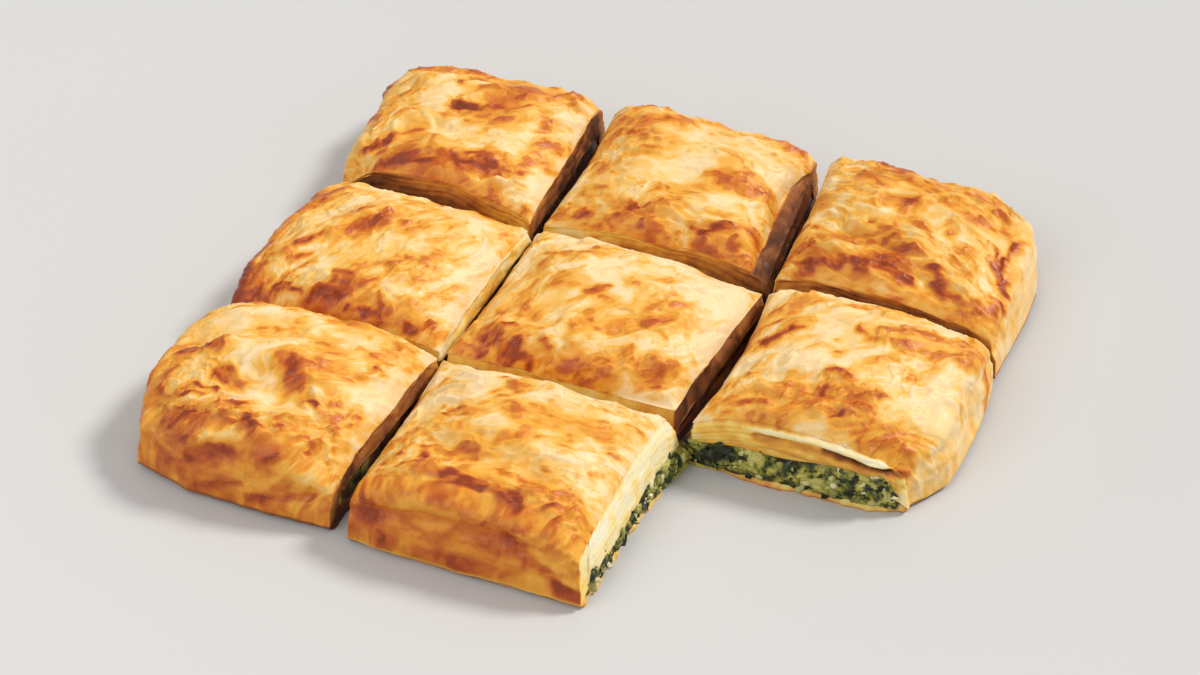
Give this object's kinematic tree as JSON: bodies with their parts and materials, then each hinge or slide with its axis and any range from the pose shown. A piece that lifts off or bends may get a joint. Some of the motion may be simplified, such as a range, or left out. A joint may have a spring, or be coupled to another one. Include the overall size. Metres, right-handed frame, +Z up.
{
  "type": "spanakopita pie",
  "caption": "Puffed golden pastry pie cut into squares, with spinach and cheese filling showing at the cuts and one corner piece taken out.",
  "frame": {"origin": "middle of the pie's outline on the surface that it stands on", "axes": "+Z up; +X along the pie's front edge to the right; +Y from the front, where a corner slice is missing on the right, to the back"},
  "size_m": [0.2785, 0.2564, 0.0385],
  "materials": {
    "baked_pastry": "flaky golden-brown baked pastry, slightly glossy from its glaze",
    "spinach_filling": "moist dark green spinach with pale crumbled cheese",
    "bottom_pastry": "thin pale golden baked pastry, matte"
  },
  "bodies": {
    "root": {"lid_back_left": "baked_pastry", "filling_back_left": "spinach_filling", "bottom_back_left": "bottom_pastry", "lid_back_centre": "baked_pastry", "filling_back_centre": "spinach_filling", "bottom_back_centre": "bottom_pastry", "lid_back_right": "baked_pastry", "filling_back_right": "spinach_filling", "bottom_back_right": "bottom_pastry", "lid_middle_left": "baked_pastry", "filling_middle_left": "spinach_filling", "bottom_middle_left": "bottom_pastry", "lid_middle_centre": "baked_pastry", "filling_middle_centre": "spinach_filling", "bottom_middle_centre": "bottom_pastry", "lid_middle_right": "baked_pastry", "filling_middle_right": "spinach_filling", "bottom_middle_right": "bottom_pastry", "lid_front_left": "baked_pastry", "filling_front_left": "spinach_filling", "bottom_front_left": "bottom_pastry", "lid_front_centre": "baked_pastry", "filling_front_centre": "spinach_filling", "bottom_front_centre": "bottom_pastry"}
  },
  "joints": []
}
